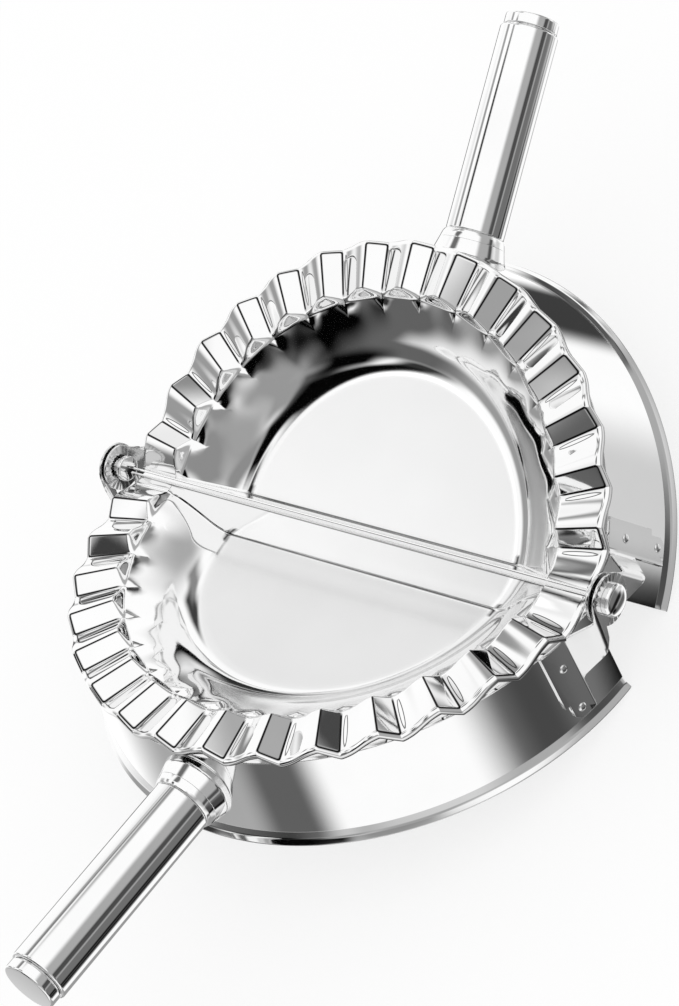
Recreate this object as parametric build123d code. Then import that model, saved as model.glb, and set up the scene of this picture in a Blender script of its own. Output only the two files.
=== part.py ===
"""Hinged empanada press pressed from stainless sheet.

Two mirror-image halves turn about one rivet axis. Each half is a pleated dough mould on a
half-round skirt, with a tubular handle in front and a riveted hinge bracket at each end.

Each half is first drawn flat: X runs along the hinge axis, +Y points away from it, Z is up,
and the hinge axis is the X axis. The halves are then tilted apart into the open rest pose,
and lifted until the lowest corners of the skirts stand on Z = 0.
"""
import os
from math import asin, atan2, cos, degrees, radians, sin, sqrt

from build123d import *

# ------------------------------------------------------------------ driving dimensions (mm)
# Pose and hinge line
rest_opening = 143.0        # degrees between the two mouth planes in the rest pose
hinge_gap = 0.4             # from the hinge plane to the first sheet metal of a half
closing_gap = 0.2           # from the hinge axis down to the pleat crests
mould_setback = 1.3         # mould circle's centre, this far beyond the hinge axis

# Pressed mould
sheet = 0.8                 # thickness of the mould and the skirt
mould_radius = 50.0         # outer edge of the pleated flange
flange_width = 8.6          # flange, from the bowl's rim to the outer edge
pleat_count = 16            # pleats in half a turn
pleat_depth = 2.2           # crest to trough
pleat_fall_share = 0.31     # share of a pleat taken by its short steep face
pleat_trough_share = 0.16   # share of a pleat taken by its rounded trough
pleat_phase = 1.9           # degrees from the handle's direction to the nearest crest
pleat_run_in = 1.7          # radial length over which a pleat fades into the bowl's rim
rim_lap = 0.28              # how far the flange's inner edge reaches into the bowl's wall
bowl_depth = 7.7            # from the bowl's rim down to its floor
wall_run = 10.4             # radial width of the sloping wall, from the rim to a sharp floor edge
floor_fillet = 5.0          # inner radius between the floor and the sloping wall
wall_fillet = 1.4           # inner radius between the floor and the hinge-side wall
lip_drop = 0.7              # hinge-side wall's top edge, below the hinge axis

# Skirt
skirt_inset = 0.7           # skirt's outer face at its top, inside the flange's outer edge
skirt_spread = 1.4          # how much wider the skirt is at the crease than at its top
skirt_wall_height = 14.6    # from the flange's lowest point down to the crease
rim_flare = 1.3             # how far the cutting rim turns out below the crease
rim_height = 2.0            # height of that turned-out rim

# Handle
handle_offset = 2.5         # handle axis, to the right of the mould's middle
handle_radius = 5.0
handle_wall = 0.8
handle_length = 35.2        # length of the tube
handle_edge = 0.3           # rounding of the tube's ends
neck_margin = 0.5           # skirt left bare above and below the neck's flared foot
neck_tip_radius = 5.35
neck_length = 2.4           # from the skirt out to the collar, on the handle's axis
collar_radius = 5.5
collar_length = 1.6
spigot_length = 9.0         # how far the neck's spigot reaches into the tube
seat_clearance = 0.05       # radial clearance of the pieces seated in the handle tube
cap_radius = 4.6
cap_length = 1.9
cap_groove_depth = 0.35     # radial depth of the groove between the tube and its cap
cap_groove_width = 0.35
cap_plug_length = 5.0

# Hinge brackets and rivets
bracket_sheet = 0.9         # thickness of the bracket strip
bracket_outer = 12.1        # welded plate's far edge, measured out from the hinge axis
bracket_fold = 6.9          # where the strip folds away from the skirt
bracket_lap = 1.0           # how far the folded strip lies on over the welded plate
bracket_foot_gap = 0.6      # skirt left bare between the welded plate and the crease
bracket_step = 0.9          # step cut into the plate's lower outer corner
bracket_step_height = 3.4
bracket_bevel = 1.0
weld_radius = 0.75          # spot-weld buttons on the plate
weld_height = 0.3
weld_drop = 4.1             # upper weld, below the plate's top edge
weld_lift = 1.7             # lower weld, above the plate's bottom edge
weld_inset = 2.6            # from the plate's far edge to the welds
ear_radius = 3.9            # round end of a bracket, about the rivet
ear_clearance = 0.4         # from a round ear to the other strip's fold
ear_gap = 0.3               # between the two ears, and between an ear and the rivet's tail
ear_standoff = 1.8          # from the flange's outer edge to the inner ear
outer_arm_foot = 9.3        # height of the outer bracket's first fold
outer_arm_half = 2.9        # half the height of the outer bracket's second fold
inner_arm_top = 3.6         # inner bracket's second fold, below the top of its plate
inner_arm_foot = 10.0       # lower edge of the inner bracket's arm, below the same top
rivet_radius = 1.5
rivet_clearance = 0.05      # radial running clearance in the inner ear
rivet_head_radius = 2.85
rivet_head_height = 1.6
rivet_dome = 0.5            # part of the head's height that is domed
rivet_tail_radius = 2.3
rivet_tail_height = 0.8

# ------------------------------------------------------------------ derived places (mm)
half_tilt = (180.0 - rest_opening) / 2
pleat_pitch = 180.0 / pleat_count
crest_z = -closing_gap
trough_z = crest_z - pleat_depth
rim_z = crest_z - pleat_depth / 2
rim_radius = mould_radius - flange_width
floor_radius = rim_radius - wall_run
floor_z = rim_z - bowl_depth
skirt_top_radius = mould_radius - skirt_inset
skirt_foot_radius = skirt_top_radius + skirt_spread
skirt_top_z = trough_z - sheet
crease_z = skirt_top_z - skirt_wall_height
foot_z = crease_z - rim_height
handle_z = (skirt_top_z + crease_z) / 2
neck_base_radius = skirt_wall_height / 2 - neck_margin
hinge_height = -foot_z * cos(radians(half_tilt)) - hinge_gap * sin(radians(half_tilt))

inner_ear_x = mould_radius + ear_standoff
outer_ear_x = inner_ear_x + bracket_sheet + ear_gap

# ------------------------------------------------------------------ shared shapes
reach = 4 * mould_radius    # larger than any piece, for cutting tools
mould_axis = Axis((0, -mould_setback, 0), (0, 0, 1))


def beyond(distance):
    """Everything further out from the hinge plane than distance."""
    return Pos(0, distance, 0) * Box(2 * reach, reach, reach, align=(Align.CENTER, Align.MIN, Align.CENTER))


def turned(points):
    """Solid turned about the mould's own axis from a closed (radius, z) outline."""
    outline = make_face(Polyline(*points, close=True))
    section = Plane(origin=(0, -mould_setback, 0), x_dir=(1, 0, 0), z_dir=(0, -1, 0)) * outline
    return revolve(section, mould_axis)


def skirt_radius(z):
    """Outer radius of the skirt's conical wall at height z."""
    return skirt_top_radius + skirt_spread * (skirt_top_z - z) / skirt_wall_height


def skirt_envelope(allowance):
    """Solid cone filling the skirt out to its outer face, grown by allowance."""
    return turned([
        (0, 0),
        (skirt_radius(0) + allowance, 0),
        (skirt_foot_radius + allowance, crease_z),
        (skirt_foot_radius + rim_flare + allowance, foot_z),
        (0, foot_z),
    ])


# ------------------------------------------------------------------ mould
def pleat_section(angle, z):
    """Radial cross-section of the flange at one angle, with its outer part at height z."""
    foot = rim_radius - rim_lap
    shoulder = rim_radius + pleat_run_in
    outline = Polyline(
        (foot, rim_z - rim_lap),
        (shoulder, z),
        (mould_radius, z),
        (mould_radius, z - sheet),
        (shoulder, z - sheet),
        (foot, rim_z - sheet),
        close=True,
    )
    turn = Pos(0, -mould_setback, 0) * Rot(0, 0, angle) * Rot(90, 0, 0)
    return turn * make_face(outline)


def pleated_flange():
    """Ratchet-shaped pleats, ruled from crest to trough all the way round."""
    sections = []
    first = 90.0 + pleat_phase + (pleat_count // 2 + 1) * pleat_pitch
    for pleat in range(pleat_count + 3):
        crest = first - pleat * pleat_pitch
        trough = crest - pleat_fall_share * pleat_pitch
        trough_end = trough - pleat_trough_share * pleat_pitch
        sections.append(pleat_section(crest, crest_z))
        sections.append(pleat_section(trough, trough_z))
        sections.append(pleat_section(trough_end, trough_z))
    return loft(sections, ruled=True)


def bowl_plug(offset, wall):
    """Solid filling the bowl out to one of its faces: offset below the inner face."""
    slope = atan2(bowl_depth, rim_radius - floor_radius)
    side_shift = offset / sin(slope)
    corner_shift = offset * (1 - cos(slope)) / sin(slope)
    plug = turned([
        (0, floor_z - offset),
        (floor_radius + corner_shift, floor_z - offset),
        (rim_radius + side_shift, rim_z),
        (rim_radius + side_shift, -lip_drop),
        (0, -lip_drop),
    ])
    floor_edge = plug.edges().filter_by(GeomType.CIRCLE).sort_by(Axis.Z)[0]
    plug = fillet(floor_edge, floor_fillet + offset)
    plug = plug & beyond(wall)
    straight = plug.edges().filter_by(GeomType.LINE).filter_by(Axis.X).sort_by(Axis.Z)[0]
    return fillet(straight, wall_fillet + offset)


def mould():
    """Pressed dough mould: D-shaped bowl with a pleated flange round its curved side."""
    bowl = bowl_plug(sheet, hinge_gap) - bowl_plug(0, hinge_gap + sheet)
    outside_rim = turned([
        (rim_radius, floor_z),
        (mould_radius, floor_z),
        (mould_radius, 0),
        (rim_radius, 0),
    ])
    flange = pleated_flange() & beyond(hinge_gap)
    return bowl - outside_rim + flange


# ------------------------------------------------------------------ skirt
def skirt():
    """Half-round band under the mould, turned out at its foot as the cutting rim."""
    band = turned([
        (skirt_top_radius, skirt_top_z),
        (skirt_foot_radius, crease_z),
        (skirt_foot_radius + rim_flare, foot_z),
        (skirt_foot_radius + rim_flare - sheet, foot_z),
        (skirt_foot_radius - sheet, crease_z),
        (skirt_top_radius - sheet, skirt_top_z),
    ])
    return band & beyond(hinge_gap)


# ------------------------------------------------------------------ handle
neck_start = sqrt(skirt_radius(handle_z) ** 2 - handle_offset ** 2) - mould_setback
collar_start = neck_start + neck_length
tube_start = collar_start + collar_length
tube_end = tube_start + handle_length


def turned_on_handle(points):
    """Solid turned about the handle's axis from a closed (radius, distance out) outline."""
    outline = make_face(Polyline(*points, close=True))
    section = Plane(origin=(handle_offset, 0, handle_z), x_dir=(1, 0, 0), z_dir=(0, 0, 1)) * outline
    return revolve(section, Axis((handle_offset, 0, handle_z), (0, 1, 0)))


spigot_radius = handle_radius - handle_wall - seat_clearance


def neck():
    """Flared neck welded to the skirt, with the spigot that carries collar and tube."""
    foot = neck_start - neck_base_radius
    cone = turned_on_handle([
        (0, foot),
        (neck_base_radius, foot),
        (neck_base_radius, neck_start),
        (neck_tip_radius, collar_start),
        (spigot_radius, collar_start),
        (spigot_radius, tube_start + spigot_length),
        (0, tube_start + spigot_length),
    ])
    return cone - skirt_envelope(0)


def collar():
    """Plain ring between the neck and the tube."""
    ring = turned_on_handle([
        (spigot_radius + seat_clearance, collar_start),
        (collar_radius, collar_start),
        (collar_radius, tube_start),
        (spigot_radius + seat_clearance, tube_start),
    ])
    rim = ring.edges().filter_by(GeomType.CIRCLE).filter_by(lambda e: e.radius > handle_radius)
    return fillet(rim, handle_edge)


def handle_tube():
    """Drawn tube that is held in the hand."""
    tube = turned_on_handle([
        (handle_radius - handle_wall, tube_start),
        (handle_radius, tube_start),
        (handle_radius, tube_end),
        (handle_radius - handle_wall, tube_end),
    ])
    ends = tube.edges().filter_by(GeomType.CIRCLE).filter_by(lambda e: e.radius > spigot_radius + handle_edge)
    return fillet(ends.sort_by(lambda e: -e.radius)[0:2], handle_edge)


def end_cap():
    """Plug pushed into the tube's open end, with a flat disc outside a narrow groove."""
    disc_start = tube_end + cap_groove_width
    disc_end = disc_start + cap_length
    cap = turned_on_handle([
        (0, tube_end - cap_plug_length),
        (spigot_radius, tube_end - cap_plug_length),
        (spigot_radius, tube_end),
        (cap_radius - cap_groove_depth, tube_end),
        (cap_radius - cap_groove_depth, disc_start),
        (cap_radius, disc_start),
        (cap_radius, disc_end),
        (0, disc_end),
    ])
    face_edge = cap.edges().filter_by(GeomType.CIRCLE).sort_by(Axis.Y)[-1]
    return fillet(face_edge, handle_edge + 0.1)


# ------------------------------------------------------------------ hinge brackets
plate_bottom = crease_z + bracket_foot_gap
lap_end = bracket_fold + bracket_lap
second_fold = ear_radius + ear_clearance


def side_outline(points):
    """Prism through the whole half, from a closed (distance out, z) outline."""
    outline = make_face(Polyline(*points, close=True))
    return extrude(Plane.YZ * outline, amount=reach)


def welded_plate():
    """Plate that lies on the skirt's conical face, with its two spot welds."""
    step_z = plate_bottom + bracket_step_height
    outline = side_outline([
        (bracket_fold, skirt_top_z),
        (bracket_outer, skirt_top_z),
        (bracket_outer, step_z),
        (bracket_outer - bracket_step, step_z),
        (bracket_outer - bracket_step, plate_bottom + bracket_bevel),
        (bracket_outer - bracket_step - bracket_bevel, plate_bottom),
        (bracket_fold, plate_bottom),
    ])
    plate = (skirt_envelope(bracket_sheet) - skirt_envelope(0)) & outline
    for z in (skirt_top_z - weld_drop, plate_bottom + weld_lift):
        plate += weld_button(bracket_outer - weld_inset, z)
    return plate


def weld_button(out, z):
    """Low round button that a spot weld leaves on the plate."""
    radius = skirt_radius(z) + bracket_sheet
    angle = asin((out + mould_setback) / radius)
    foot = Pos(radius * cos(angle), out, z) * Rot(0, 90, degrees(angle))
    blank = Cylinder(weld_radius, 2 * weld_height)
    crown = blank.edges().filter_by(GeomType.CIRCLE).sort_by(Axis.Z)[-1]
    return foot * fillet(crown, weld_height * 0.9)


def across(radius, out):
    """How far to the side a circle about the mould's axis lies at one distance out."""
    return sqrt(radius ** 2 - (out + mould_setback) ** 2)


def strip_plan(ear_x, z):
    """Plan of the bracket strip at height z: along the skirt, out at the fold, then straight."""
    radius = skirt_radius(z)
    inner = [
        (across(radius, lap_end), lap_end),
        (across(radius, bracket_fold), bracket_fold),
        (ear_x, second_fold),
        (ear_x, -ear_radius - 1),
    ]
    outer = [(x + bracket_sheet, out) for x, out in reversed(inner)]
    return Pos(0, 0, z) * make_face(Polyline(*inner, *outer, close=True))


def folded_strip(ear_x):
    """Strip that leaves the skirt at the first fold and steps out to the ear's plane."""
    strip = loft([strip_plan(ear_x, foot_z), strip_plan(ear_x, ear_radius + 1)], ruled=True)
    return strip - skirt_envelope(0)


def ear(hole_radius, arm_points):
    """Outline prism of the round ear and its arm, with the rivet hole through it."""
    eye = Plane.YZ * Circle(ear_radius)
    arm = side_outline(arm_points)
    return extrude(eye, amount=reach) + arm - extrude(Plane.YZ * Circle(hole_radius), amount=reach)


def outer_bracket():
    """Bracket whose ear lies outside, on the side of the rivet's head."""
    fold_x = across(skirt_top_radius, bracket_fold)
    lean = (outer_ear_x - fold_x) / (bracket_fold - second_fold)
    clear_of_flange = bracket_fold - (mould_radius + ear_gap - fold_x) / lean
    prism = ear(rivet_radius, [
        (0, ear_radius * 0.8),
        (second_fold, outer_arm_half),
        (clear_of_flange, skirt_top_z),
        (lap_end, skirt_top_z),
        (lap_end, skirt_top_z - outer_arm_foot),
        (bracket_fold, skirt_top_z - outer_arm_foot),
        (second_fold, -outer_arm_half),
        (0, -ear_radius * 0.9),
    ])
    return welded_plate() + (folded_strip(outer_ear_x) & prism)


def inner_bracket():
    """Bracket whose ear lies inside, cut away above so that the halves can close."""
    top = skirt_top_z - inner_arm_top
    foot = skirt_top_z - inner_arm_foot
    prism = ear(rivet_radius + rivet_clearance, [
        (0, 0),
        (ear_radius * 0.7, -ear_radius * 0.7),
        (second_fold, top),
        (lap_end, skirt_top_z),
        (lap_end, foot),
        (second_fold, foot),
        (-ear_radius * 0.6, -ear_radius * 0.8),
    ])
    cut_corner = side_outline([
        (lap_end, skirt_top_z),
        (second_fold, top),
        (second_fold, skirt_top_z),
    ])
    return welded_plate() - cut_corner + (folded_strip(inner_ear_x) & prism)


def rivet():
    """Domed rivet through both ears, peened over a flat tail inside."""
    tail_end = inner_ear_x - ear_gap
    head_start = outer_ear_x + bracket_sheet
    head_end = head_start + rivet_head_height
    shoulder = head_end - rivet_dome
    dome_radius = (rivet_head_radius ** 2 + rivet_dome ** 2) / (2 * rivet_dome)
    half_way = rivet_head_radius / 2
    crown = head_end - dome_radius + sqrt(dome_radius ** 2 - half_way ** 2)
    section = make_face([
        Polyline(
            (0, head_end),
            (0, tail_end - rivet_tail_height),
            (rivet_tail_radius, tail_end - rivet_tail_height),
            (rivet_tail_radius, tail_end),
            (rivet_radius, tail_end),
            (rivet_radius, head_start),
            (rivet_head_radius, head_start),
            (rivet_head_radius, shoulder),
        ),
        ThreePointArc((rivet_head_radius, shoulder), (half_way, crown), (0, head_end)),
    ])
    lying = Plane(origin=(0, 0, 0), x_dir=(0, 0, 1), z_dir=(0, 1, 0))
    return revolve(lying * section, Axis.X)


# ------------------------------------------------------------------ assembly
def placed(piece, half):
    """Tilt a piece of one half into the rest pose; the front half is the mirror image."""
    if half == "front":
        piece = mirror(piece, about=Plane.XZ)
        tilt = -half_tilt
    else:
        tilt = half_tilt
    return Pos(0, 0, hinge_height) * Rot(tilt, 0, 0) * piece


def save(piece, name):
    """Write one piece to its own file."""
    export_step(piece, os.path.join("parts", name + ".step"))


def main():
    os.makedirs("parts", exist_ok=True)
    shared = {
        "mould": mould(),
        "skirt": skirt(),
        "handle_neck": neck(),
        "handle_collar": collar(),
        "handle_tube": handle_tube(),
        "handle_end_cap": end_cap(),
    }
    brackets = {"front": outer_bracket(), "back": inner_bracket()}
    for half in ("front", "back"):
        for name, piece in shared.items():
            save(placed(piece, half), half + "_" + name)
        bracket = brackets[half]
        save(placed(bracket, half), half + "_right_bracket")
        save(placed(mirror(bracket, about=Plane.YZ), half), half + "_left_bracket")
    right_rivet = rivet()
    save(placed(right_rivet, "front"), "right_rivet")
    save(placed(mirror(right_rivet, about=Plane.YZ), "front"), "left_rivet")


main()
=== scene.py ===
from math import asin, atan, atan2, cos, degrees, exp, pi, radians, sin, sqrt, tan

import bmesh
import bpy
from mathutils import Matrix, Vector


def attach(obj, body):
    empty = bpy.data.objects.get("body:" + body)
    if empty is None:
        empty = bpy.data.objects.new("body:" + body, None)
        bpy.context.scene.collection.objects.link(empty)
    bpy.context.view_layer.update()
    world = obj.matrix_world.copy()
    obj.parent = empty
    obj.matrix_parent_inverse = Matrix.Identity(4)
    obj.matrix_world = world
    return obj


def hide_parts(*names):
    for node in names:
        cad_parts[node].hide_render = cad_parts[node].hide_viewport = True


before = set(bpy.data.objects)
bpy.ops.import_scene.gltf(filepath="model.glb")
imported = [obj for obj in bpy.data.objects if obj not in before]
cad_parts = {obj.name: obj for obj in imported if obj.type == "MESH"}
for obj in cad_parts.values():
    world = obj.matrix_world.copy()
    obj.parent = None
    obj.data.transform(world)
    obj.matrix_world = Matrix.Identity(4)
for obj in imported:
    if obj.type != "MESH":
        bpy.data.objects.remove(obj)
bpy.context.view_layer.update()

# ------------------------------------------------------------------ sizes (mm)
# Each half is drawn flat: x along the hinge axis, u out from it, z up, the hinge axis at u = z = 0.
# The sizes follow the solids, but the brackets' sheet is thinner, their ears are a little larger and the
# rivet heads a little smaller.
REST_OPENING = 143.0
HINGE_GAP = 0.4
MOULD_SETBACK = 1.3
SHEET = 0.8
MOULD_RADIUS = 50.0
PLEAT_COUNT = 16
PLEAT_FALL = 0.31
PLEAT_PHASE = 1.9
CREST_Z = -0.2
TROUGH_Z = -2.4
RIM_RADIUS = 41.4
FLOOR_Z = -9.0
WALL_FILLET = 1.4
SKIRT_TOP_RADIUS = 49.3
SKIRT_FOOT_RADIUS = 50.7
RIM_FLARE = 1.3
SKIRT_TOP_Z = -3.2
CREASE_Z = -17.8
FOOT_Z = -19.8
HANDLE_X = 2.5
HANDLE_Z = -10.5
HANDLE_RADIUS = 5.0
HANDLE_WALL = 0.8
NECK_BASE_RADIUS = 6.8
NECK_START = 48.64
COLLAR_START = 51.04
COLLAR_RADIUS = 5.5
TUBE_START = 52.64
TUBE_END = 87.84
CAP_RADIUS = 4.6
CAP_START = 88.19
CAP_END = 90.09
BRACKET_SHEET = 0.9
STRIP_SHEET = 0.5
BRACKET_OUTER = 12.1
BRACKET_FOLD = 6.9
SECOND_FOLD = 4.3
PLATE_BOTTOM = -17.2
EAR_RADIUS = 4.15
INNER_EAR_X = 51.8
OUTER_EAR_X = 53.0
RIVET_RADIUS = 1.5
RIVET_HEAD_RADIUS = 2.65
RIVET_HEAD_END = 55.5
RIVET_TAIL_RADIUS = 2.3
RIVET_TAIL_END = 50.7
RIVET_TAIL_FACE = 51.5
RIVET_DOME = 0.6
RIVET_DOME_RADIUS = RIVET_HEAD_RADIUS - 0.12
RIVET_RIM = 0.75

TILT = radians((180.0 - REST_OPENING) / 2)
PITCH = 180.0 / PLEAT_COUNT
HINGE_HEIGHT = -FOOT_Z * cos(TILT) - HINGE_GAP * sin(TILT)


def placed(half, x, u, z):
    """Row-frame point, in metres, of a point drawn flat in millimetres."""
    side = -1.0 if half == "front" else 1.0
    return Vector((
        x / 1000.0,
        side * (u * cos(TILT) - z * sin(TILT)) / 1000.0,
        (u * sin(TILT) + z * cos(TILT) + HINGE_HEIGHT) / 1000.0,
    ))


def flat_place(half, point):
    """The flat millimetre place (x, u, z) of a row-frame point: placed() undone."""
    y = (-1000.0 if half == "front" else 1000.0) * point.y
    z = point.z * 1000.0 - HINGE_HEIGHT
    return point.x * 1000.0, y * cos(TILT) + z * sin(TILT), z * cos(TILT) - y * sin(TILT)


# ------------------------------------------------------------------ mesh helpers
def clamp(value):
    """The value, held between 0 and 1."""
    return min(max(value, 0.0), 1.0)


def spread(start, end, count):
    """Evenly spaced values from start to end, both included."""
    return [start + (end - start) * k / (count - 1) for k in range(count)]


def rounded(corners, closed=False, steps=4):
    """Polyline through (a, b, radius) corners, each rounded to its own radius."""
    count = len(corners)
    path = []
    for k, (a, b, radius) in enumerate(corners):
        here = Vector((a, b))
        if radius == 0 or (not closed and k in (0, count - 1)):
            path.append(here)
            continue
        before = Vector(corners[k - 1][:2]) - here
        after = Vector(corners[(k + 1) % count][:2]) - here
        turn = pi - before.angle(after)
        length = min(radius * tan(turn / 2), before.length * 0.48, after.length * 0.48)
        start = here + before.normalized() * length
        end = here + after.normalized() * length
        for s in spread(0.0, 1.0, steps + 1):
            path.append(start * (1 - s) ** 2 + here * 2 * s * (1 - s) + end * s * s)
    return path


def add_grid(bm, rows, closed=False):
    """Quads over rows of points; closed joins the last point of each row to its first."""
    verts = [[bm.verts.new(p) for p in row] for row in rows]
    for low, high in zip(verts, verts[1:]):
        count = len(low)
        for k in range(count if closed else count - 1):
            n = (k + 1) % count
            bm.faces.new((low[k], low[n], high[n], high[k]))
    return verts


def piece(name, half, node, bm, material):
    """Object made of a bmesh, riding its half and standing for its node."""
    bmesh.ops.remove_doubles(bm, verts=bm.verts, dist=2e-7)
    bmesh.ops.dissolve_degenerate(bm, edges=bm.edges, dist=1e-7)
    bmesh.ops.recalc_face_normals(bm, faces=bm.faces)
    mesh = bpy.data.meshes.new(name)
    bm.to_mesh(mesh)
    bm.free()
    mesh.shade_smooth()
    mesh.materials.append(material)
    obj = bpy.data.objects.new(name, mesh)
    bpy.context.scene.collection.objects.link(obj)
    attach(obj, f"{half}_half")
    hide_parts(node)
    return obj


def even_normals(obj):
    """Keeps wide faces flat beside their small rounded edges."""
    weighted = obj.modifiers.new("even_normals", "WEIGHTED_NORMAL")
    weighted.mode = "FACE_AREA"
    weighted.keep_sharp = True
    weighted.weight = 70


def round_edges(obj, width, limit=None):
    """Small rounding, on edges sharper than the limit, or without one on edges with a bevel weight."""
    bevel = obj.modifiers.new("sheet_edges", "BEVEL")
    bevel.limit_method = "ANGLE" if limit else "WEIGHT"
    if limit:
        bevel.angle_limit = radians(limit)
    bevel.width = width / 1000.0
    bevel.segments = 2
    even_normals(obj)


# ------------------------------------------------------------------ mould
WALL_TOP_RADIUS = 40.8
WALL_TOP_Z = -2.3
WALL_TOP_SLOPE = 0.49
WALL_SAG = 0.0196
WALL_OVERRUN = 1.5
FLAT_RADIUS = 28.0
FLOOR_BLEND = 2.4
FLANGE_FROM = 36.0
SHOULDER_FROM = 40.4
SHOULDER = 1.5
SHOULDER_POWER = 1.5
NOSE = 1.5
RIPPLE = 0.12
RIPPLE_REACH = 2.4
CREST_ROUND = 0.16
FALL = PLEAT_FALL * PITCH
PLEAT_CURVE = 0.5
# Place, width and reach of the painted spindle of dark reflection lines beside each trough; the sheet is
# not hollowed there.
PAINTED_SPINDLE_ASIDE = 0.85
PAINTED_SPINDLE_WIDTH = 0.34
PAINTED_SPINDLE_LEAST = 0.04
PAINTED_SPINDLE_MIDDLE = 45.4
PAINTED_SPINDLE_REACH = 3.3
ROLL_FROM = 49.1
ROLL = 0.5
EDGE_ROUND = 0.14
FLANGE_END = 5.8
COLUMN_SPAN = 85.0
SLOPE_STEP = 0.05
LEAN_FADE_FROM = 37.0
LEAN_FADE = 4.0
HINGE_WALL_FILLET = 0.45
HINGE_WALL_TOP = -0.15
HINGE_WALL_HIGHEST = -0.03
HINGE_WALL_LEAST = 0.25
HINGE_WALL_STRAIGHT_TO = -8.0
HINGE_WALL_LEAN = 0.68
HINGE_WALL_THINNING = 0.42
STRIP_U = HINGE_GAP + SHEET + WALL_FILLET
FACE_RADIUS = 45.5
FACE_FOOT = 40.0
FACE_TOP = MOULD_RADIUS - 0.58
FACE_CORNER = 0.35
# Depth under the top below which the mould's outer sheet edge gets the painted dark reflection line.
EDGE_PAINTED_LINE_DEPTH = 0.35
DULL_RADIUS = 30.0
DULL_FADE = 2.0
DULL_FROM_U = 1.6
# Middle height, half width and soft edge of the painted dark reflection lines along the hinge wall's top
# and foot.
HINGE_WALL_PAINTED_LINES = ((HINGE_WALL_TOP - 0.35, 0.03, 0.15), (FLOOR_Z + 0.13, 0.02, 0.1))


def soft_min(a, b, width):
    """Lesser of two heights, blended where they are closer than width."""
    near = max(width - abs(a - b), 0.0) / width
    return min(a, b) - near * near * width / 4


def bowl_profile(r):
    """Inner face of the bowl: floor, broad fillet, and a wall that is steepest just above the fillet."""
    down = max(WALL_TOP_RADIUS - r, -WALL_OVERRUN)
    wall = WALL_TOP_Z - WALL_TOP_SLOPE * down - WALL_SAG * down * abs(down)
    return -soft_min(-FLOOR_Z, -wall, FLOOR_BLEND)


def wall_height(r, angle):
    """Bowl profile with its soft bulges under the crests and the steep shoulder below the pleats."""
    if r < FLAT_RADIUS:
        return FLOOR_Z
    phase = radians((90.0 + PLEAT_PHASE - angle) / PITCH * 360.0)
    bulge = RIPPLE * cos(phase) * exp((min(r, WALL_TOP_RADIUS) - WALL_TOP_RADIUS) / RIPPLE_REACH)
    return bowl_profile(r) + bulge + SHOULDER * max(r - SHOULDER_FROM, 0.0) ** SHOULDER_POWER


def ratchet(angle):
    """Height of a pleat: sharp crest, short steep face, sharp trough, and an s-curved rise to a crest."""
    below = (90.0 + PLEAT_PHASE - angle) % PITCH
    if below < FALL:
        return CREST_Z - (CREST_Z - TROUGH_Z) * below / FALL
    run = (below - FALL) / (PITCH - FALL)
    return TROUGH_Z + (CREST_Z - TROUGH_Z) * (run - PLEAT_CURVE * sin(2 * pi * run) / (2 * pi))


def pleat_height(angle, r):
    """Ratchet averaged over a short arc, which rounds its sharp crest."""
    width = degrees(CREST_ROUND / r)
    total = 0.0
    for step, weight in ((-1.0, 1), (-0.5, 2), (0.0, 3), (0.5, 2), (1.0, 1)):
        total += weight * ratchet(angle + step * width)
    return total / 9


def mould_height(x, u):
    """Upper face of the mould at one place."""
    r = sqrt(x * x + (u + MOULD_SETBACK) ** 2)
    angle = degrees(atan2(u + MOULD_SETBACK, x))
    if r < FLANGE_FROM:
        return wall_height(r, angle)
    roll = ROLL * max(r - ROLL_FROM, 0.0) ** 2
    return soft_min(wall_height(r, angle), pleat_height(angle, r), NOSE) - roll


def painted_spindle_width(r):
    """Half width of the painted spindle of dark reflection lines beside each trough."""
    share = 1.0 - ((r - PAINTED_SPINDLE_MIDDLE) / PAINTED_SPINDLE_REACH) ** 2
    return max(PAINTED_SPINDLE_WIDTH * sqrt(max(share, 0.0)), PAINTED_SPINDLE_LEAST)


def flange_columns(r):
    """Angles of the flange's columns, closer together at each crest, trough and painted spindle line."""
    near = (-0.7, -0.5, -0.36, -0.26, -0.18, -0.1, -0.03, 0.03, 0.1, 0.18, 0.26, 0.36, 0.5)
    marks = [0.7, FALL * 0.4, FALL * 0.6, FALL - 0.7, *near] + [FALL + d for d in near]
    wide = painted_spindle_width(r)
    inner = min(0.03, 0.3 * wide), min(0.1, 0.7 * wide)
    sides = [-wide - 0.1, -wide - 0.03, -wide + inner[0], -wide + inner[1]]
    marks += [FALL + degrees((PAINTED_SPINDLE_ASIDE + d) / r) for d in sides + [-d for d in sides[::-1]]]
    marks += spread(FALL + 1.9, PITCH - 0.9, 12)
    angles = []
    for k in range(-9, 10):
        angles += [90.0 + PLEAT_PHASE + k * PITCH - d for d in marks]
    return sorted(a for a in angles if FLANGE_END < a < 180.0 - FLANGE_END)


def ring(r):
    """Plan points of the ring of radius r, between the two ends that lie on the line u = STRIP_U."""
    end = degrees(asin(min((STRIP_U + MOULD_SETBACK) / r, 1.0)))
    angles = flange_columns(max(r, RIM_RADIUS))
    if r < RIM_RADIUS - 3:
        angles = [90.0 + (a - 90.0) * (90.0 - end) / COLUMN_SPAN for a in angles]
    angles = [end] + angles + [180.0 - end]
    return [(r * cos(radians(a)), r * sin(radians(a)) - MOULD_SETBACK) for a in angles]


def through_sheet(x, u):
    """Unit vector from the upper face to the lower face."""
    r = sqrt(x * x + (u + MOULD_SETBACK) ** 2)
    lean = atan((bowl_profile(r + SLOPE_STEP) - bowl_profile(r - SLOPE_STEP)) / (2 * SLOPE_STEP))
    lean *= 1.0 - clamp((r - LEAN_FADE_FROM) / LEAN_FADE)
    return Vector((sin(lean) * x / r, sin(lean) * (u + MOULD_SETBACK) / r, -cos(lean)))


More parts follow.
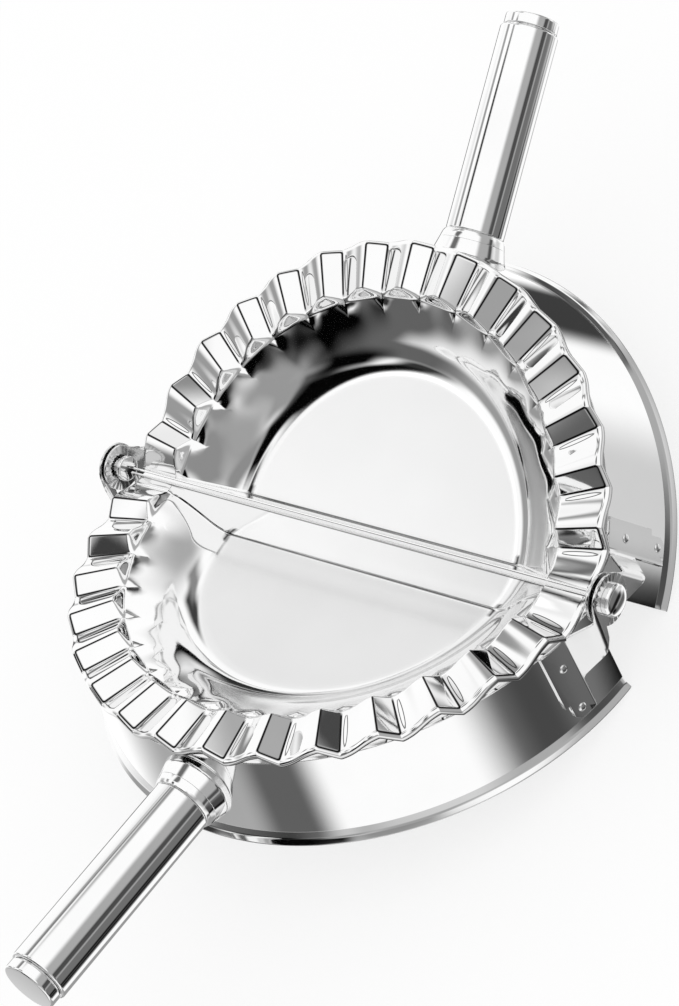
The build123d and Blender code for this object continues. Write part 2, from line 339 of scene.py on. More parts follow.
def hinge_wall(z):
    """Inner face's distance out, and the thickness: the wall leans to the hinge and thins upwards."""
    rise = clamp((z - HINGE_WALL_STRAIGHT_TO) / (HINGE_WALL_TOP - HINGE_WALL_STRAIGHT_TO))
    return HINGE_GAP + SHEET - HINGE_WALL_LEAN * rise, SHEET - HINGE_WALL_THINNING * rise


def hinge_strip(x):
    """Upper and lower points from the floor at STRIP_U up to the hinge wall's top edge."""
    to_hinge = Vector((0, -1, 0))
    down = through_sheet(x, STRIP_U)
    foot = hinge_wall(mould_height(x, STRIP_U))[0]
    corner = mould_height(x, foot)
    top = max(HINGE_WALL_TOP, min(corner + HINGE_WALL_LEAST, HINGE_WALL_HIGHEST))
    radius = min(HINGE_WALL_FILLET, 0.2 * (top - corner))
    straight = max(top - EDGE_ROUND, corner + radius + 0.01) - corner - radius
    upper, lower = [], []
    for u in spread(STRIP_U, foot + radius, 6)[1:]:
        upper.append(Vector((x, u, mould_height(x, u))))
        lower.append(upper[-1] + down * SHEET)
    for turn in spread(0.0, pi / 2, 7)[1:]:
        z = corner + radius * (1 - cos(turn))
        upper.append(Vector((x, foot + radius * (1 - sin(turn)), z)))
        through = (down * cos(turn) + to_hinge * sin(turn)).normalized()
        lower.append(upper[-1] + through * hinge_wall(z)[1])
    for share in (0.25, 0.5, 0.75, 0.9, 0.93, 0.945, 0.96, 0.975, 0.99, 1.0):
        z = corner + radius + straight * share
        inner, thickness = hinge_wall(z)
        upper.append(Vector((x, min(inner, foot), z)))
        lower.append(upper[-1] + to_hinge * thickness)
    return upper, lower


def top_edge(a, b, inset):
    """Points over a rounded sheet edge, between its two faces at a and b."""
    rise = EDGE_ROUND - inset
    shape = ((0.05, 0.7), (0.18, 1), (0.82, 1), (0.95, 0.7))
    return [a.lerp(b, share) + Vector((0, 0, rise * height)) for share, height in shape]


def mould_section(r, inset=0.0):
    """Closed outline of the sheet along one ring, drawn in by inset, and its upper point count."""
    upper = [Vector((x, u, mould_height(x, u))) for x, u in ring(r)]
    lower = [p + through_sheet(p.x, p.y) * SHEET for p in upper]
    for at_start in (True, False):
        end = upper[0] if at_start else upper[-1]
        strip, strip_lower = hinge_strip(end.x)
        if at_start:
            upper, lower = strip[::-1] + upper, strip_lower[::-1] + lower
        else:
            upper, lower = upper + strip, lower + strip_lower
    share = inset / SHEET
    inner = [a.lerp(b, share) for a, b in zip(upper, lower)]
    outer = [b.lerp(a, share) for a, b in zip(upper, lower)]
    outline = inner + top_edge(inner[-1], outer[-1], inset)
    outline += outer[::-1] + top_edge(outer[0], inner[0], inset)
    return outline, len(inner)


def mould(half, material):
    """Pressed mould: one sheet from the hinge wall over the floor and the wall to the pleated edge.
    Its rings lie closer together where the sheet bends."""
    radii = [3.9, 5.5, 9.0, 14.0, 19.0, 24.0, 27.0]
    radii += spread(FLAT_RADIUS, 34.4, 17)
    radii += spread(35.0, 39.0, 8)
    radii += spread(39.3, 43.3, 25)
    radii += spread(43.9, MOULD_RADIUS - 1.4, 7)
    radii += [MOULD_RADIUS - d for d in (1.15, 0.95, 0.85, 0.75, 0.66, 0.58, 0.5, 0.42, 0.34, 0.26, 0.19)]
    sections = [mould_section(r)[0] for r in radii]
    for distance, inset in ((EDGE_ROUND, 0.0), (0.04, 0.04), (0.0, EDGE_ROUND)):
        outline, count = mould_section(MOULD_RADIUS - distance, inset)
        sections.append(outline)
    bm = bmesh.new()
    verts = add_grid(bm, [[placed(half, *p) for p in row] for row in sections], closed=True)[-1]
    far = count + 4
    for k in range(count - 1):
        bm.faces.new((verts[k], verts[k + 1], verts[far + count - 2 - k], verts[far + count - 1 - k]))
    bm.faces.new(verts[count - 1:far + 1])
    bm.faces.new(verts[far + count - 1:] + verts[:1])
    obj = piece(f"{half}_pleated_mould", half, f"{half}_mould", bm, material)
    mark_mould(obj.data, half)


def from_outline(aside, along):
    """How far a place on the flange is from the rounded outline of a steep face, in mm."""
    half_aside = radians(FALL) * FACE_RADIUS / 2
    half_along = (FACE_TOP - FACE_FOOT) / 2
    a = abs(aside - half_aside) - half_aside + FACE_CORNER
    b = abs(along - FACE_FOOT - half_along) - half_along + FACE_CORNER
    return abs(min(max(a, b), 0.0) + sqrt(max(a, 0.0) ** 2 + max(b, 0.0) ** 2) - FACE_CORNER)


def line_share(distance, half, soft):
    """1 within the half width of a line's middle, fading to 0 over its soft edge."""
    return clamp((half + soft - distance) / soft)


def painted_reflection_line(x, u, z):
    """Share of painted dark reflection line at one place: lines run round each steep pleat face, along both
    sides of the painted spindle beside each trough, under the outer edge, and along the top and foot of the
    hinge wall."""
    if u < STRIP_U:
        return max(line_share(abs(z - height), half, soft) for height, half, soft in HINGE_WALL_PAINTED_LINES)
    r = sqrt(x * x + (u + MOULD_SETBACK) ** 2)
    below = (90.0 + PLEAT_PHASE - degrees(atan2(u + MOULD_SETBACK, x))) % PITCH
    if below > PITCH - 2.0:
        below -= PITCH
    line = line_share(from_outline(radians(below) * FACE_RADIUS, r), 0.13, 0.07)
    line *= clamp((r - RIM_RADIUS) / 0.6)
    if r > MOULD_RADIUS - 0.2 and z < mould_height(x, u) - EDGE_PAINTED_LINE_DEPTH:
        line = 1.0
    wide = painted_spindle_width(r)
    if wide > PAINTED_SPINDLE_LEAST + 0.01:
        aside = abs(abs(radians(below - FALL) * r - PAINTED_SPINDLE_ASIDE) - wide)
        line = max(line, line_share(aside, 0.04, 0.06))
    return line


def less_polished(x, u, z):
    """1 on the bowl's floor and 0 elsewhere, with a soft edge."""
    if u <= DULL_FROM_U:
        return 0.0
    return clamp((DULL_RADIUS - sqrt(x * x + (u + MOULD_SETBACK) ** 2)) / DULL_FADE)


def mark_mould(mesh, half):
    """Stores at every vertex the two marks that the pressed metal reads: the painted dark reflection lines
    and the less polished floor.
    """
    places = [flat_place(half, vert.co) for vert in mesh.vertices]
    for mark in (painted_reflection_line, less_polished):
        attribute = mesh.attributes.new(mark.__name__, "FLOAT", "POINT")
        attribute.data.foreach_set("value", [mark(*place) for place in places])


# ------------------------------------------------------------------ skirt
def skirt_radius(z):
    """Radius of the skirt's outer face at height z."""
    share = (SKIRT_TOP_Z - z) / (SKIRT_TOP_Z - CREASE_Z)
    return SKIRT_TOP_RADIUS + (SKIRT_FOOT_RADIUS - SKIRT_TOP_RADIUS) * share


def skirt(half, material):
    """Conical band with a sharp crease and a turned-out cutting rim."""
    profile = rounded([
        (SKIRT_TOP_RADIUS, SKIRT_TOP_Z, 0.15),
        (SKIRT_FOOT_RADIUS, CREASE_Z, 0.2),
        (SKIRT_FOOT_RADIUS + 0.5, CREASE_Z - 1.1, 1.6),
        (SKIRT_FOOT_RADIUS + RIM_FLARE, FOOT_Z, 0.15),
        (SKIRT_FOOT_RADIUS + RIM_FLARE - SHEET, FOOT_Z, 0.15),
        (SKIRT_FOOT_RADIUS - SHEET, CREASE_Z, 0.6),
        (SKIRT_TOP_RADIUS - SHEET, SKIRT_TOP_Z, 0.15),
    ], closed=True)
    rows = []
    for share in spread(0.0, 1.0, 181):
        row = []
        for r, z in profile:
            end = asin((HINGE_GAP + MOULD_SETBACK) / r)
            turn = end + (pi - 2 * end) * share
            row.append(placed(half, r * cos(turn), r * sin(turn) - MOULD_SETBACK, z))
        rows.append(row)
    bm = bmesh.new()
    verts = add_grid(bm, rows, closed=True)
    bm.faces.new(verts[0])
    bm.faces.new(verts[-1])
    obj = piece(f"{half}_skirt_band", half, f"{half}_skirt", bm, material)
    round_edges(obj, 0.07, 60.0)


# ------------------------------------------------------------------ handle
SPIGOT_LENGTH = 9.0
SPIGOT_GAP = 0.05
NECK_SUNK = 0.9
NECK_LIE = 1.6
COLLAR_STEP = 0.15
CAP_DEPTH = 5.0
CAP_RECESS = 0.1
CAP_NECK = 0.35
TURN_COUNT = 72


def lathe(bm, profile, place, around=TURN_COUNT):
    """Surface of a closed (radius, distance) profile turned about an axis; place maps (a, b, distance)."""
    rows = []
    for k in range(around + 1):
        turn = 2 * pi * k / around
        rows.append([place(r * cos(turn), r * sin(turn), along) for r, along in profile])
    add_grid(bm, rows)


def skirt_face(x, z):
    """How far out the skirt's outer face lies at one place."""
    return sqrt(skirt_radius(z) ** 2 - x * x) - MOULD_SETBACK


def handle_place(half):
    """Maps a point turned on the handle's axis to the row frame."""
    return lambda a, b, along: placed(half, HANDLE_X + a, along, HANDLE_Z + b)


def handle_part(half, name, node, corners, material):
    """One turned piece of the handle, from its closed (radius, distance, rounding) outline."""
    bm = bmesh.new()
    lathe(bm, rounded(corners), handle_place(half))
    obj = piece(f"{half}_{name}", half, f"{half}_{node}", bm, material)
    even_normals(obj)


def neck(half, material):
    """Flared neck whose foot lies on the skirt, with the spigot inside the tube."""
    spigot = HANDLE_RADIUS - HANDLE_WALL - SPIGOT_GAP
    profile = rounded([
        (NECK_BASE_RADIUS - 0.35, 0.0, 0.0),
        (NECK_BASE_RADIUS - 0.65, 0.8, 1.0),
        (COLLAR_RADIUS + COLLAR_STEP, COLLAR_START - NECK_START, 0.05),
        (spigot, COLLAR_START - NECK_START, 0.0),
        (spigot, TUBE_START + SPIGOT_LENGTH - NECK_START, 0.3),
        (0.0, TUBE_START + SPIGOT_LENGTH - NECK_START, 0.0),
    ])
    rows = []
    for k in range(TURN_COUNT + 1):
        turn = 2 * pi * k / TURN_COUNT
        row = [placed(half, HANDLE_X, NECK_START - NECK_SUNK, HANDLE_Z)]
        for r, along in profile:
            x = HANDLE_X + r * cos(turn)
            z = HANDLE_Z + r * sin(turn)
            lie = max(1.0 - along / NECK_LIE, 0.0)
            drop = (skirt_face(x, z) - 0.12 - NECK_START) * lie
            row.append(placed(half, x, NECK_START + along + drop, z))
        rows.append(row)
    bm = bmesh.new()
    add_grid(bm, rows)
    obj = piece(f"{half}_neck", half, f"{half}_handle_neck", bm, material)
    even_normals(obj)


def handle(half, material):
    """Neck, collar, drawn tube and end cap."""
    spigot = HANDLE_RADIUS - HANDLE_WALL
    neck(half, material)
    handle_part(half, "collar", "handle_collar", [
        (spigot, COLLAR_START, 0), (COLLAR_RADIUS + COLLAR_STEP, COLLAR_START, 0.05),
        (COLLAR_RADIUS - 0.1, COLLAR_START + 1.0, 0.8), (HANDLE_RADIUS + 0.12, TUBE_START, 0.3),
        (spigot, TUBE_START, 0), (spigot, COLLAR_START, 0),
    ], material)
    handle_part(half, "tube", "handle_tube", [
        (spigot, TUBE_START, 0), (HANDLE_RADIUS, TUBE_START, 0.3), (HANDLE_RADIUS, TUBE_END, 0.35),
        (spigot, TUBE_END, 0.2), (spigot, TUBE_START, 0),
    ], material)
    plug = spigot - SPIGOT_GAP
    handle_part(half, "end_cap", "handle_end_cap", [
        (0, TUBE_END - CAP_DEPTH, 0), (plug, TUBE_END - CAP_DEPTH, 0.2), (plug, TUBE_END - CAP_RECESS, 0),
        (CAP_RADIUS - CAP_NECK, TUBE_END - CAP_RECESS, 0), (CAP_RADIUS - CAP_NECK, CAP_START, 0.1),
        (CAP_RADIUS, CAP_START, 0.15), (CAP_RADIUS, CAP_END, 0.4), (0, CAP_END, 0),
    ], material)


# ------------------------------------------------------------------ hinge
def skirt_side(u, z):
    """How far to the side the skirt's outer face lies at one place."""
    return sqrt(skirt_radius(z) ** 2 - (u + MOULD_SETBACK) ** 2)


def strip_x(ear_x, u, z):
    """Inner face of the folded strip, with soft bends."""
    total = 0.0
    for shift in (-0.45, -0.3, -0.15, 0.0, 0.15, 0.3, 0.45):
        at = u + shift
        if at >= BRACKET_FOLD:
            total += skirt_side(at, z)
        else:
            share = min((BRACKET_FOLD - at) / (BRACKET_FOLD - SECOND_FOLD), 1.0)
            total += skirt_side(BRACKET_FOLD, z) * (1 - share) + ear_x * share
    return total / 7


def arc(radius, start, end, count):
    """Points of an arc about the rivet, angles in degrees."""
    return [(radius * cos(radians(a)), radius * sin(radians(a))) for a in spread(start, end, count)]


PLATE = [
    (BRACKET_OUTER, SKIRT_TOP_Z), (BRACKET_OUTER, -13.8), (BRACKET_OUTER - 0.9, -13.8),
    (BRACKET_OUTER - 0.9, -16.2), (BRACKET_OUTER - 1.9, PLATE_BOTTOM), (BRACKET_FOLD, PLATE_BOTTOM),
]
OUTER_OUTLINE = [(SECOND_FOLD, -0.9), (BRACKET_FOLD, SKIRT_TOP_Z)] + PLATE + [(BRACKET_FOLD, -11.4)]
OUTER_OUTLINE += [(SECOND_FOLD, -7.6), (3.0, -5.3)] + arc(EAR_RADIUS, -50.0, -349.0, 60)
INNER_OUTLINE = [(SECOND_FOLD, -3.9), (BRACKET_FOLD, SKIRT_TOP_Z)] + PLATE + [(BRACKET_FOLD, -10.0)]
INNER_OUTLINE += [(SECOND_FOLD, -10.0)] + arc(EAR_RADIUS, -120.0, -330.0, 44)


def flat_sheet(outline, hole_radius):
    """Flat outline with the rivet's hole, cut into columns so that it can be bent."""
    bm = bmesh.new()
    edges = []
    for loop in (outline, arc(hole_radius, 0.0, 352.5, 48)):
        verts = [bm.verts.new((u, z, 0.0)) for u, z in loop]
        edges += [bm.edges.new((verts[k - 1], verts[k])) for k in range(len(verts))]
    bmesh.ops.triangle_fill(bm, edges=edges, use_beauty=True)
    cuts = [8.4, 9.3, 10.2, 11.2]
    for fold in (BRACKET_FOLD, SECOND_FOLD):
        cuts = spread(fold - 0.7, fold + 0.7, 9) + cuts
    for u in cuts:
        everything = bm.verts[:] + bm.edges[:] + bm.faces[:]
        bmesh.ops.bisect_plane(bm, geom=everything, plane_co=(u, 0, 0), plane_no=(1, 0, 0), dist=1e-5)
    for z in (-6.0, -9.0, -12.0, -15.0):
        everything = bm.verts[:] + bm.edges[:] + bm.faces[:]
        bmesh.ops.bisect_plane(bm, geom=everything, plane_co=(0, z, 0), plane_no=(0, 1, 0), dist=1e-5)
    return bm


def weld_button(bm, half, side, centre, normal):
    """Low round button left by a spot weld."""
    across_x = normal.cross(Vector((0, 0, 1))).normalized()
    across_z = across_x.cross(normal)
    profile = [(0.0, -0.15), (0.72, -0.15), (0.75, 0.0), (0.7, 0.1)]
    profile += [(0.58, 0.19), (0.4, 0.26), (0.2, 0.295), (0.0, 0.3)]

    def place(a, b, height):
        p = centre + across_x * a + across_z * b + normal * height
        return placed(half, side * p.x, p.y, p.z)

    lathe(bm, profile, place, 28)


def bracket(half, side_name, material):
    """Folded strip: welded plate, step outwards and round ear."""
    outer = half == "front"
    side = 1.0 if side_name == "right" else -1.0
    ear_x = (OUTER_EAR_X if outer else INNER_EAR_X) + BRACKET_SHEET - STRIP_SHEET
    if outer:
        flat = flat_sheet(OUTER_OUTLINE, RIVET_RADIUS)
    else:
        flat = flat_sheet(INNER_OUTLINE, RIVET_RADIUS + 0.05)

    def both_faces(u, z):
        x = strip_x(ear_x, u, z)
        slope_u = (strip_x(ear_x, u + 0.01, z) - x) / 0.01
        slope_z = (strip_x(ear_x, u, z + 0.01) - x) / 0.01
        normal = Vector((1.0, -slope_u, -slope_z)).normalized()
        return Vector((x, u, z)), normal

    bm = bmesh.new()
    near, far = {}, {}
    for vert in flat.verts:
        point, normal = both_faces(vert.co.x, vert.co.y)
        out = point + normal * STRIP_SHEET
        near[vert] = bm.verts.new(placed(half, side * point.x, point.y, point.z))
        far[vert] = bm.verts.new(placed(half, side * out.x, out.y, out.z))
    for face in flat.faces:
        bm.faces.new([near[v] for v in reversed(face.verts)])
        bm.faces.new([far[v] for v in face.verts])
    weight = bm.edges.layers.float.new("bevel_weight_edge")
    for edge in flat.edges:
        if edge.is_boundary:
            a, b = edge.verts
            side_face = bm.faces.new((near[a], near[b], far[b], far[a]))
            if a.co.length > RIVET_RADIUS + 0.2:
                side_face.edges[0][weight] = side_face.edges[2][weight] = 1.0
            else:
                side_face.edges[0].smooth = side_face.edges[2].smooth = False
    flat.free()
    for z in (SKIRT_TOP_Z - 4.1, PLATE_BOTTOM + 1.7):
        point, normal = both_faces(BRACKET_OUTER - 2.6, z)
        weld_button(bm, half, side, point + normal * STRIP_SHEET, normal)
    name = f"{half}_{side_name}"
    obj = piece(f"{name}_hinge_bracket", half, f"{name}_bracket", bm, material)
    round_edges(obj, 0.06)


def rivet(side_name, material):
    """Domed head outside, shank through both ears, flat tail inside."""
    side = 1.0 if side_name == "right" else -1.0
    head = OUTER_EAR_X + BRACKET_SHEET
    dome = []
    for turn in spread(1.5, 0.0, 12):
        dome.append((RIVET_DOME_RADIUS * sin(turn), RIVET_HEAD_END - RIVET_DOME * (1 - cos(turn)), 0))
    profile = rounded([
        (0, RIVET_TAIL_END, 0), (RIVET_TAIL_RADIUS, RIVET_TAIL_END, 0.3),
        (RIVET_TAIL_RADIUS, RIVET_TAIL_FACE, 0.1), (RIVET_RADIUS, RIVET_TAIL_FACE, 0.05),
        (RIVET_RADIUS, head, 0.05), (RIVET_HEAD_RADIUS, head, 0.12),
        (RIVET_HEAD_RADIUS, RIVET_HEAD_END - RIVET_RIM, 0.15),
    ] + dome)
    bm = bmesh.new()
    lathe(bm, profile, lambda a, b, along: placed("front", side * along, a, b), 64)
    obj = piece(f"{side_name}_hinge_rivet", "front", f"{side_name}_rivet", bm, material)
    even_normals(obj)


# ------------------------------------------------------------------ materials
def new_material(name):
    """Empty node material, with its nodes and links."""
    material = bpy.data.materials.new(name)
    material.use_nodes = True
    nodes = material.node_tree.nodes
    nodes.clear()
    return material, nodes, material.node_tree.links


def math_node(nodes, links, operation, a, b=None):
    """Output of one arithmetic node; a and b are sockets or numbers."""
    node = nodes.new("ShaderNodeMath")
    node.operation = operation
    for socket, value in zip(node.inputs, (a, b)):
        if value is None:
            continue
        if isinstance(value, (int, float)):
            socket.default_value = value
        else:
            links.new(value, socket)
    return node.outputs[0]


CLOUD_SCALE = 55.0
GRAIN_HEIGHT = 0.00002
# Base colour of the painted dark reflection lines on the mould.
PAINTED_LINE_TONE = 0.005
FLOOR_ROUGHNESS = 0.2


def steel(name, tone, rough, grain, grain_depth, painted_lines=False):
    """Stainless steel: tone and roughness drift over the sheet, and a fine grain is pressed into it; on the
    mould, painted dark reflection lines darken the base colour along the pleats' edges and the hinge wall.
    """
    material, nodes, links = new_material(name)
    place = nodes.new("ShaderNodeTexCoord")
    cloud = nodes.new("ShaderNodeTexNoise")
    cloud.inputs["Scale"].default_value = CLOUD_SCALE
    cloud.inputs["Detail"].default_value = 4.0
    links.new(place.outputs["Object"], cloud.inputs["Vector"])
    colour = nodes.new("ShaderNodeValToRGB")
    colour.color_ramp.elements[0].position = 0.3
    colour.color_ramp.elements[0].color = (tone[0],) * 3 + (1,)
    colour.color_ramp.elements[1].position = 0.7
    colour.color_ramp.elements[1].color = (tone[1],) * 3 + (1,)
    links.new(cloud.outputs["Fac"], colour.inputs["Fac"])
    polish = nodes.new("ShaderNodeMapRange")
    polish.inputs["To Min"].default_value = rough[0]
    polish.inputs["To Max"].default_value = rough[1]
    links.new(cloud.outputs["Fac"], polish.inputs["Value"])
    stretch = nodes.new("ShaderNodeMapping")
    stretch.inputs["Scale"].default_value = grain
    links.new(place.outputs["Object"], stretch.inputs["Vector"])
    streaks = nodes.new("ShaderNodeTexNoise")
    streaks.inputs["Scale"].default_value = 1.0
    streaks.inputs["Detail"].default_value = 3.0
    links.new(stretch.outputs["Vector"], streaks.inputs["Vector"])
    bump = nodes.new("ShaderNodeBump")
    bump.inputs["Strength"].default_value = grain_depth
    bump.inputs["Distance"].default_value = GRAIN_HEIGHT
    links.new(streaks.outputs["Fac"], bump.inputs["Height"])
    shader = nodes.new("ShaderNodeBsdfPrincipled")
    shader.inputs["Metallic"].default_value = 1.0
    base, roughness = colour.outputs["Color"], polish.outputs["Result"]
    # Painted reflection: the base colour turns nearly black along the pleats' edges, the painted spindles,
    # the outer edge and the hinge wall, standing in for dark reflections in the bends.
    if painted_lines:
        painted_line_mark = nodes.new("ShaderNodeAttribute")
        painted_line_mark.attribute_name = "painted_reflection_line"
        darken = nodes.new("ShaderNodeMix")
        darken.data_type = "RGBA"
        darken.inputs["B"].default_value = (PAINTED_LINE_TONE,) * 3 + (1,)
        links.new(painted_line_mark.outputs["Fac"], darken.inputs["Factor"])
        links.new(base, darken.inputs["A"])
        base = darken.outputs["Result"]
        floor_mark = nodes.new("ShaderNodeAttribute")
        floor_mark.attribute_name = "less_polished"
        duller = math_node(nodes, links, "MULTIPLY", floor_mark.outputs["Fac"], FLOOR_ROUGHNESS)
        roughness = math_node(nodes, links, "ADD", duller, roughness)
    links.new(base, shader.inputs["Base Color"])
    links.new(roughness, shader.inputs["Roughness"])
    links.new(bump.outputs["Normal"], shader.inputs["Normal"])
    output = nodes.new("ShaderNodeOutputMaterial")
    links.new(shader.outputs["BSDF"], output.inputs["Surface"])
    return material


# ------------------------------------------------------------------ studio
def lit(tone):
    """Scene-linear colour that polished metal shows at this display tone, from 0 to 255."""
    v = tone / 255.0
    linear = v / 12.92 if v <= 0.04045 else ((v + 0.055) / 1.055) ** 2.4
    return (linear / METAL_TONE,) * 3 + (1.0,)


# Soft boxes and dark cards round the object, later ones in front of earlier ones. Each has its display
# tone, its middle and half width in azimuth and in elevation (degrees, azimuth 0 along +X), and how soft
# its upright and level edges are.
STUDIO = (
    ("ground", 150, (-140, 112), (-74, 21), 30, 14),
    ("ground, dark band", 95, (-92, 60), (-45, 5), 16, 8),
    ("ground, far dark band", 100, (158, 16), (-30, 8), 14, 8),
    ("ceiling, grey part", 238, (-172, 17), (50, 7), 12, 6),
    ("window", 280, (-149, 12), (43, 5), 10, 5),
    ("ceiling, bright end", 262, (-176, 5), (50, 6), 6, 6),
    ("left screen", 234, (134, 12), (26, 9), 16, 8),
    ("right wall", 168, (4, 84), (11, 22), 22, 14),
    ("right wall, near end", 158, (-50, 24), (38, 15), 30, 16),
    ("right wall, upper edge", 140, (-56, 20), (55, 7), 14, 8),
    ("right wall, far edge", 70, (84, 5), (5, 7), 6, 6),
    ("front box", 252, (-62, 30), (-14, 19), 14, 14),
    ("front box, upper part", 208, (-46, 22), (12, 9), 20, 12),
    ("far card", 72, (112, 9), (-18, 14), 10, 10),
    ("far card, right part", 84, (97, 12), (-6, 8), 12, 8),
    ("far card, upper part", 60, (109, 11), (22, 5), 8, 6),
    ("right card", 76, (14, 34), (-6, 6), 20, 8),
    ("right card, middle", 64, (15, 10), (1, 4), 12, 8),
    ("lower right", 110, (2, 34), (-31, 18), 18, 10),
    ("lower right, dark end", 70, (-14, 9), (-34, 13), 14, 12),
    ("table", 205, (52, 18), (-33, 9), 20, 10),
    ("table edge", 24, (4, 36), (-46, 5), 20, 5),
    ("under the table", 94, (20, 36), (-58, 7), 20, 8),
    ("under the table, dark middle", 5, (2, 10), (-54, 4), 10, 6),
    ("far table corner", 60, (114, 13), (-33, 9), 10, 10),
    ("left foreground", 165, (-128, 26), (-22, 16), 30, 14),
    ("left foreground, dark end", 95, (-99, 11), (-16, 10), 12, 12),
    ("left wall", 152, (-157, 24), (11, 10), 20, 12),
    ("left wall, upper part", 150, (-177, 9), (37, 5), 8, 6),
    ("left card, upper part", 105, (142, 22), (64, 8), 14, 8),
    ("left card, near end", 140, (117, 8), (44, 6), 10, 8),
    ("left card, lower part", 150, (146, 10), (39, 5), 10, 6),
    ("front wall", 96, (-112, 30), (14, 10), 14, 8),
    ("front card, grey end", 84, (-95, 13), (38, 15), 14, 12),
    ("front card, left end", 50, (-136, 8), (34, 11), 10, 8),
    ("front card, lower part", 2, (-107, 13), (24, 9), 12, 12),
    ("front card", 2, (-115, 25), (44, 11), 12, 6),
    ("front card, upper part", 3, (-93, 16), (56, 10), 12, 8),
    ("front card, top", 60, (-129, 14), (66, 5), 10, 6),
    ("left corner", 35, (-166, 7), (60, 4), 6, 5),
    ("thin left card", 110, (136, 12), (41, 2), 10, 4),
    ("left card, low end", 135, (99, 10), (27, 4), 8, 6),
    ("right wall, dark end", 150, (-78, 8), (33, 9), 8, 8),
)
# How much a card's middle rises per degree of azimuth.
STUDIO_SLOPES = {"right wall, near end": -0.3}
STUDIO_TONE = 252
METAL_TONE = 0.9
FLOOR_TONE = 0.9
FLOOR_GLOW = 1.04
FLOOR_GLOW_SHARE = 0.7
FLOOR_REACH = 3.0
FLOOR_BELOW = 0.0002


def soft_edge(nodes, links, distance, half, soft):
    """1 inside the half width and 0 outside, with a soft edge; all in degrees."""
    edge = nodes.new("ShaderNodeMapRange")
    edge.interpolation_type = "SMOOTHSTEP"
    edge.inputs["From Min"].default_value = radians(half - soft / 2)
    edge.inputs["From Max"].default_value = radians(half + soft / 2)
    edge.inputs["To Min"].default_value = 1.0
    edge.inputs["To Max"].default_value = 0.0
    links.new(math_node(nodes, links, "ABSOLUTE", distance), edge.inputs["Value"])
    return edge.outputs["Result"]


def studio_world():
    """Plain white to the camera, plain light on diffuse surfaces, and soft boxes and cards in the metal."""
    world = bpy.data.worlds.new("studio")
    bpy.context.scene.world = world
    world.use_nodes = True
    nodes, links = world.node_tree.nodes, world.node_tree.links
    nodes.clear()
    place = nodes.new("ShaderNodeTexCoord")
    axes = nodes.new("ShaderNodeSeparateXYZ")
    links.new(place.outputs["Generated"], axes.inputs[0])
    azimuth = math_node(nodes, links, "ARCTAN2", axes.outputs["Y"], axes.outputs["X"])
    elevation = math_node(nodes, links, "ARCSINE", axes.outputs["Z"])
    shade = None
    for name, tone, (middle, half), (height, half_height), soft, soft_height in STUDIO:
        aside = math_node(nodes, links, "SUBTRACT", azimuth, radians(middle))
        aside = math_node(nodes, links, "WRAP", aside, pi)
        aside.node.inputs[2].default_value = -pi
        over = math_node(nodes, links, "SUBTRACT", elevation, radians(height))
        if name in STUDIO_SLOPES:
            rise = math_node(nodes, links, "MULTIPLY", aside, STUDIO_SLOPES[name])
            over = math_node(nodes, links, "SUBTRACT", over, rise)
        inside = math_node(
            nodes, links, "MULTIPLY",
            soft_edge(nodes, links, aside, half, soft),
            soft_edge(nodes, links, over, half_height, soft_height),
        )
        mix = nodes.new("ShaderNodeMix")
        mix.label = name
        mix.data_type = "RGBA"
        links.new(inside, mix.inputs["Factor"])
        if shade is None:
            mix.inputs["A"].default_value = lit(STUDIO_TONE)
        else:
            links.new(shade, mix.inputs["A"])
        mix.inputs["B"].default_value = lit(tone)
        shade = mix.outputs["Result"]
    kinds = nodes.new("ShaderNodeLightPath")
    plain = nodes.new("ShaderNodeBackground")
    plain.inputs["Color"].default_value = (1, 1, 1, 1)
    pattern = nodes.new("ShaderNodeBackground")
    links.new(shade, pattern.inputs["Color"])
    choose = nodes.new("ShaderNodeMixShader")
    links.new(kinds.outputs["Is Glossy Ray"], choose.inputs["Fac"])
    links.new(plain.outputs["Background"], choose.inputs[1])
    links.new(pattern.outputs["Background"], choose.inputs[2])
    output = nodes.new("ShaderNodeOutputWorld")
    links.new(choose.outputs["Shader"], output.inputs["Surface"])


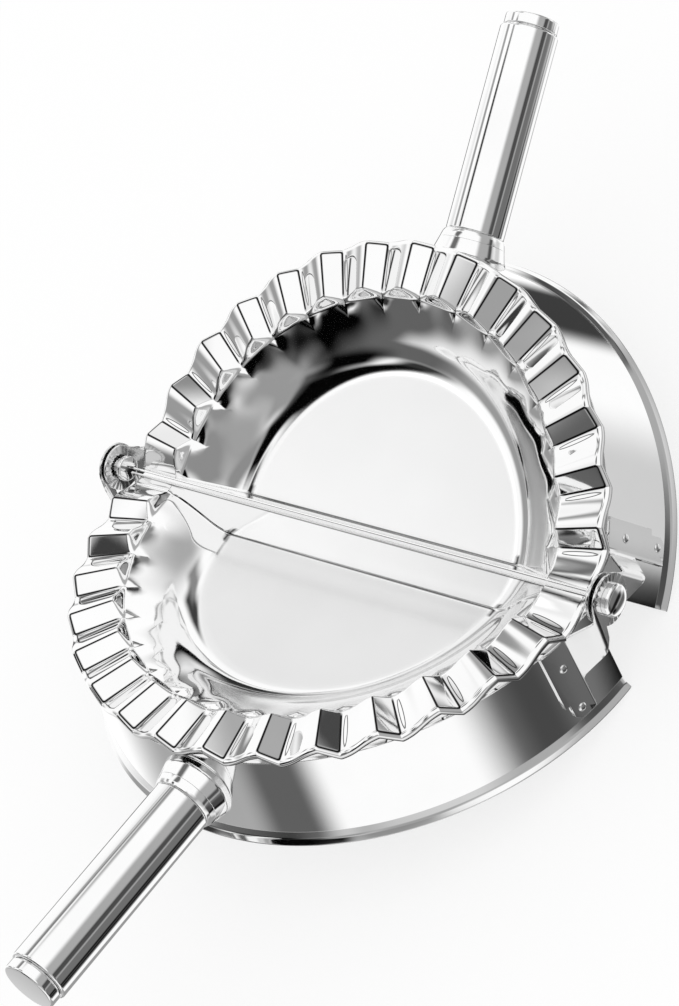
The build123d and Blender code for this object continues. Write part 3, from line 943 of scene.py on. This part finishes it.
def floor():
    """Plain pale floor that keeps the object's shadow and stays out of the metal's reflections."""
    material, nodes, links = new_material("pale_floor")
    paint = nodes.new("ShaderNodeBsdfDiffuse")
    paint.inputs["Color"].default_value = (FLOOR_TONE,) * 3 + (1,)
    glow = nodes.new("ShaderNodeEmission")
    glow.inputs["Color"].default_value = (1, 1, 1, 1)
    glow.inputs["Strength"].default_value = FLOOR_GLOW
    kinds = nodes.new("ShaderNodeLightPath")
    share = math_node(nodes, links, "MULTIPLY", kinds.outputs["Is Camera Ray"], FLOOR_GLOW_SHARE)
    mix = nodes.new("ShaderNodeMixShader")
    links.new(share, mix.inputs["Fac"])
    links.new(paint.outputs["BSDF"], mix.inputs[1])
    links.new(glow.outputs["Emission"], mix.inputs[2])
    output = nodes.new("ShaderNodeOutputMaterial")
    links.new(mix.outputs["Shader"], output.inputs["Surface"])
    bm = bmesh.new()
    sides = spread(-FLOOR_REACH, FLOOR_REACH, 5)
    add_grid(bm, [[Vector((x, y, -FLOOR_BELOW)) for x in sides] for y in sides])
    bmesh.ops.recalc_face_normals(bm, faces=bm.faces)
    mesh = bpy.data.meshes.new("studio_floor")
    bm.to_mesh(mesh)
    bm.free()
    mesh.materials.append(material)
    obj = bpy.data.objects.new("studio_floor", mesh)
    bpy.context.scene.collection.objects.link(obj)
    obj.visible_glossy = False


CAMERA_PLACE = Vector((0.25237, -0.09747, 0.31023))
CAMERA_RIGHT = Vector((0.74531, 0.44252, -0.49869))
CAMERA_UP = Vector((-0.19600, 0.86035, 0.47052))
CAMERA_LENS = 86.85
CAMERA_SENSOR = 36.0


def camera():
    """Camera in front, to the right and above."""
    data = bpy.data.cameras.new("camera")
    data.lens = CAMERA_LENS
    data.sensor_width = CAMERA_SENSOR
    obj = bpy.data.objects.new("camera", data)
    turn = Matrix((CAMERA_RIGHT, CAMERA_UP, CAMERA_RIGHT.cross(CAMERA_UP))).transposed()
    obj.matrix_world = Matrix.Translation(CAMERA_PLACE) @ turn.to_4x4()
    bpy.context.scene.collection.objects.link(obj)
    bpy.context.scene.camera = obj


# ------------------------------------------------------------------ scene
bpy.context.scene.view_settings.view_transform = "Standard"
studio_world()
floor()
camera()

pressed = steel("pressed_mirror_steel", (0.88, 0.92), (0.02, 0.06), (900, 900, 900), 0.04, painted_lines=True)
mirror = steel("polished_steel", (0.88, 0.92), (0.03, 0.08), (900, 900, 900), 0.05)
satin = steel("satin_steel", (0.74, 0.8), (0.1, 0.16), (300, 4000, 4000), 0.1)
for half in ("front", "back"):
    mould(half, pressed)
    skirt(half, mirror)
    handle(half, mirror)
    for side_name in ("right", "left"):
        bracket(half, side_name, satin)
for side_name in ("right", "left"):
    rivet(side_name, mirror)
